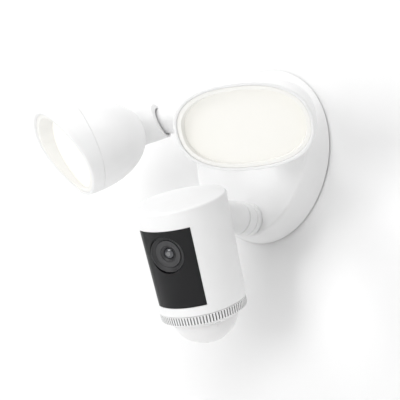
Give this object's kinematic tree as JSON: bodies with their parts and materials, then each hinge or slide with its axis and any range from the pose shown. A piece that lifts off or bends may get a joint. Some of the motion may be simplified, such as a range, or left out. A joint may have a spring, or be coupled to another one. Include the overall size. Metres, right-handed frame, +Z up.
{
  "type": "floodlight security camera",
  "caption": "Wall-mounted security camera with a cylindrical swivelling body, a motion-sensor dome below it and two oval floodlight heads on curved ball-jointed arms.",
  "frame": {"origin": "middle of the mounting bracket's back face, on the wall", "axes": "+Z up, -Y out of the wall towards the viewer, +X to the right of a person who looks at the front"},
  "size_m": [0.2733, 0.1672, 0.2198],
  "materials": {
    "white_housing": "satin moulded white",
    "sensor_dome": "thin milky white",
    "lamp_bezel": "satin moulded white",
    "lamp_lens": "frosted, lit warm white",
    "reflector": "bright white",
    "led_board": "white solder mask",
    "inner_plastic": "plain moulded",
    "black_panel": "polished black",
    "black_matt": "fine matt black",
    "lens_glass": "coated",
    "steel": "zinc plated",
    "ground_green": "green plated",
    "aluminium": "as cast",
    "rubber_seal": "closed-cell foam",
    "silicone_seal": "pale silicone",
    "circuit_board": "green solder mask",
    "iron_core": "varnished",
    "nylon": "natural",
    "grey_plastic": "moulded"
  },
  "bodies": {
    "base": {"base_cover": "white_housing", "wall_gasket": "rubber_seal", "base_back_plate": "inner_plastic", "mounting_bracket": "steel", "bracket_screw_upper": "steel", "bracket_screw_lower": "steel", "ground_screw": "ground_green", "cover_screw_1": "steel", "cover_screw_2": "steel", "cover_screw_3": "steel", "cover_screw_4": "steel", "power_board": "circuit_board", "transformer": "iron_core", "filter_capacitor": "black_matt", "terminal_block": "grey_plastic", "left_arm": "white_housing", "left_arm_nut": "nylon", "right_arm": "white_housing", "right_arm_nut": "nylon", "camera_arm": "white_housing", "camera_arm_collar": "white_housing", "camera_arm_nut": "nylon"},
    "left_swivel": {"left_lamp_ball_liner": "nylon"},
    "left_lamp": {"left_lamp_rear_housing": "white_housing", "left_lamp_front_shell": "white_housing", "left_lamp_seal": "silicone_seal", "left_lamp_bezel": "lamp_bezel", "left_lamp_lens": "lamp_lens", "left_lamp_reflector": "reflector", "left_lamp_led_board": "led_board", "left_lamp_heat_sink": "aluminium"},
    "right_swivel": {"right_lamp_ball_liner": "nylon"},
    "right_lamp": {"right_lamp_rear_housing": "white_housing", "right_lamp_front_shell": "white_housing", "right_lamp_seal": "silicone_seal", "right_lamp_bezel": "lamp_bezel", "right_lamp_lens": "lamp_lens", "right_lamp_reflector": "reflector", "right_lamp_led_board": "led_board", "right_lamp_heat_sink": "aluminium"},
    "camera_swivel": {"camera_ball_liner": "nylon"},
    "camera_head": {"camera_rear_socket": "white_housing", "camera_shell": "white_housing", "camera_front_panel": "black_panel", "camera_lens_ring": "black_matt", "camera_lens_barrel": "black_matt", "camera_lens_glass": "lens_glass", "camera_vent_ring": "white_housing", "motion_sensor_dome": "sensor_dome", "motion_sensor_board": "circuit_board", "motion_sensor": "steel", "image_board": "circuit_board", "night_light_board_left": "circuit_board", "night_light_board_right": "circuit_board", "main_board": "circuit_board", "heat_spreader": "aluminium", "speaker": "black_matt", "setup_switch": "grey_plastic"},
    "setup_button": {"setup_button": "white_housing"}
  },
  "joints": [
    {"name": "left_lamp_pan", "type": "hinge", "parent": "base", "child": "left_swivel", "pos_m": [-0.0486, -0.0626, 0.0312], "axis": [0, 0, -1], "range_deg": [-35, 14]},
    {"name": "left_lamp_tilt", "type": "hinge", "parent": "left_swivel", "child": "left_lamp", "pos_m": [-0.0486, -0.0626, 0.0312], "axis": [0.7727, -0.6347, 0], "range_deg": [-32, 10]},
    {"name": "right_lamp_pan", "type": "hinge", "parent": "base", "child": "right_swivel", "pos_m": [0.0486, -0.0626, 0.0312], "axis": [0, 0, 1], "range_deg": [-23, 30]},
    {"name": "right_lamp_tilt", "type": "hinge", "parent": "right_swivel", "child": "right_lamp", "pos_m": [0.0486, -0.0626, 0.0312], "axis": [0.8886, 0.4586, 0], "range_deg": [-34, 12]},
    {"name": "camera_pan", "type": "hinge", "parent": "base", "child": "camera_swivel", "pos_m": [0, -0.0572, -0.0484], "axis": [0, 0, 1], "range_deg": [-35, 35]},
    {"name": "camera_tilt", "type": "hinge", "parent": "camera_swivel", "child": "camera_head", "pos_m": [0, -0.0572, -0.0484], "axis": [0.9863, 0.165, 0], "range_deg": [-20, 20]},
    {"name": "setup_button_press", "type": "slide", "parent": "camera_head", "child": "setup_button", "axis": [0.1497, -0.8946, -0.421], "range_m": [0, 0.0008], "stiffness_N_per_m": 400}
  ]
}
